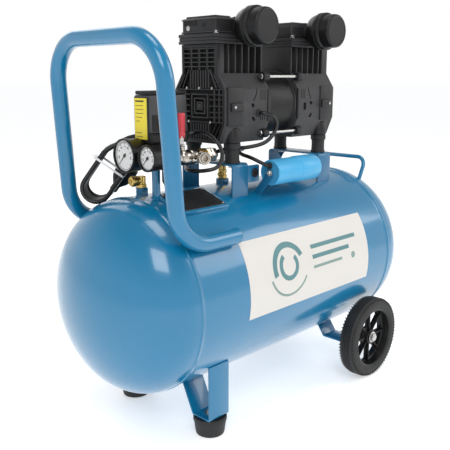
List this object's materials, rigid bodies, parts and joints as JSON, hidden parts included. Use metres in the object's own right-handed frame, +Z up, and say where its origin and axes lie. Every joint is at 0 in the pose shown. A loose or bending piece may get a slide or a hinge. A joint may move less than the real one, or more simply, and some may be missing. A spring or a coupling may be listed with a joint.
{
  "type": "wheeled twin-head oil-free air compressor",
  "caption": "Wheeled oil-free air compressor: twin-head motor pump on rubber mounts over a horizontal receiver, with handle, gauges, pressure switch, ball valve and quick coupler.",
  "frame": {"origin": "on the floor, below the middle of the receiver", "axes": "+X along the receiver to the wheel end, +Z up, -Y the side with the intake filters"},
  "size_m": [0.7026, 0.346, 0.6721],
  "materials": {
    "blue_paint": "semi-gloss powder coat",
    "bracket_paint": "satin powder coat",
    "black_casting": "satin black",
    "grey_casing": "satin dark grey",
    "sky_plastic": "satin light blue",
    "rubber": "matt black",
    "tyre": "matt black",
    "steel": "zinc plated",
    "chrome": "nickel plated",
    "brass": "bright brass",
    "red_plastic": "gloss red",
    "gauge_black": "gloss black",
    "stator_iron": "black varnished laminations",
    "piston_alloy": "machined"
  },
  "bodies": {
    "frame": {"tank_shell": "blue_paint", "tank_head_front": "blue_paint", "tank_head_rear": "blue_paint", "main_handle": "blue_paint", "rear_grip": "blue_paint", "front_leg_left": "blue_paint", "front_leg_right": "blue_paint", "axle_bracket_left": "blue_paint", "axle_bracket_right": "blue_paint", "pump_bracket_front": "bracket_paint", "pump_bracket_rear": "bracket_paint", "capacitor_strap": "bracket_paint", "rubber_foot_left": "rubber", "rubber_foot_right": "rubber", "motor_cable": "rubber", "capacitor_cable": "rubber", "mains_cord": "rubber", "mains_hank": "rubber", "mains_plug": "rubber", "rubber_mount_front_left": "rubber", "rubber_mount_front_right": "rubber", "rubber_mount_rear_left": "rubber", "rubber_mount_rear_right": "rubber", "axle_bolt_left": "steel", "axle_bolt_right": "steel", "tie_rod_left_lower": "steel", "tie_rod_left_upper": "steel", "tie_rod_right_lower": "steel", "tie_rod_right_upper": "steel", "crankcase_front": "black_casting", "crankcase_rear": "black_casting", "cylinder_head_front": "black_casting", "cylinder_head_rear": "black_casting", "intake_filter_front": "black_casting", "intake_filter_rear": "black_casting", "air_manifold": "black_casting", "pressure_switch_base": "grey_casing", "pressure_switch_cover": "grey_casing", "stator": "stator_iron", "delivery_pipe": "chrome", "outlet_valve": "chrome", "safety_valve": "brass", "tank_gauge": "gauge_black", "outlet_gauge": "gauge_black", "capacitor": "sky_plastic"},
    "wheel_left": {"wheel_rim_left": "black_casting", "tyre_left": "tyre"},
    "wheel_right": {"wheel_rim_right": "black_casting", "tyre_right": "tyre"},
    "motor_shaft": {"motor_shaft": "steel"},
    "piston_front": {"piston_front": "piston_alloy"},
    "piston_rear": {"piston_rear": "piston_alloy"},
    "valve_lever": {"valve_lever": "red_plastic"},
    "regulator_knob": {"regulator_knob": "black_casting"},
    "coupler_sleeve": {"coupler_sleeve": "chrome"},
    "safety_knob": {"safety_knob": "brass"},
    "drain_screw": {"drain_screw": "brass"},
    "switch_knob": {"switch_knob": "black_casting"},
    "tank_gauge_needle": {"tank_gauge_needle": "gauge_black"},
    "outlet_gauge_needle": {"outlet_gauge_needle": "gauge_black"}
  },
  "joints": [
    {"name": "wheel_left_spin", "type": "hinge", "parent": "frame", "child": "wheel_left", "pos_m": [0.187, -0.1565, 0.0763], "axis": [0, 1, 0], "continuous": true},
    {"name": "wheel_right_spin", "type": "hinge", "parent": "frame", "child": "wheel_right", "pos_m": [0.187, 0.1565, 0.0763], "axis": [0, 1, 0], "continuous": true},
    {"name": "motor_shaft_spin", "type": "hinge", "parent": "frame", "child": "motor_shaft", "pos_m": [0.039, 0, 0.516], "axis": [1, 0, 0], "continuous": true},
    {"name": "piston_front_slide", "type": "slide", "parent": "frame", "child": "piston_front", "axis": [0, 0, 1], "range_m": [0, 0.01]},
    {"name": "piston_rear_slide", "type": "slide", "parent": "frame", "child": "piston_rear", "axis": [0, 0, 1], "range_m": [0, 0.01]},
    {"name": "valve_lever_turn", "type": "hinge", "parent": "frame", "child": "valve_lever", "pos_m": [-0.182, -0.041, 0.4588], "axis": [0, 0, 1], "range_deg": [0, 90]},
    {"name": "regulator_knob_turn", "type": "hinge", "parent": "frame", "child": "regulator_knob", "pos_m": [-0.206, -0.041, 0.4279], "axis": [0, 0, 1], "range_deg": [-540, 540]},
    {"name": "coupler_sleeve_slide", "type": "slide", "parent": "frame", "child": "coupler_sleeve", "axis": [0.4, 0.9165, 0], "range_m": [0, 0.003], "stiffness_N_per_m": 400},
    {"name": "safety_knob_slide", "type": "slide", "parent": "frame", "child": "safety_knob", "axis": [-1, 0, 0], "range_m": [0, 0.003], "stiffness_N_per_m": 500},
    {"name": "drain_screw_turn", "type": "hinge", "parent": "frame", "child": "drain_screw", "pos_m": [0, 0, 0.071], "axis": [0, 0, 1], "range_deg": [0, 720]},
    {"name": "switch_knob_slide", "type": "slide", "parent": "frame", "child": "switch_knob", "axis": [0, 0, 1], "range_m": [0, 0.005]},
    {"name": "tank_gauge_needle_turn", "type": "hinge", "parent": "frame", "child": "tank_gauge_needle", "pos_m": [-0.256, 0.009, 0.446], "axis": [1, 0, 0], "range_deg": [0, 270], "stiffness_Nm_per_rad": 0.01},
    {"name": "outlet_gauge_needle_turn", "type": "hinge", "parent": "frame", "child": "outlet_gauge_needle", "pos_m": [-0.2524, -0.041, 0.4455], "axis": [1, 0, 0], "range_deg": [0, 270], "stiffness_Nm_per_rad": 0.01}
  ]
}
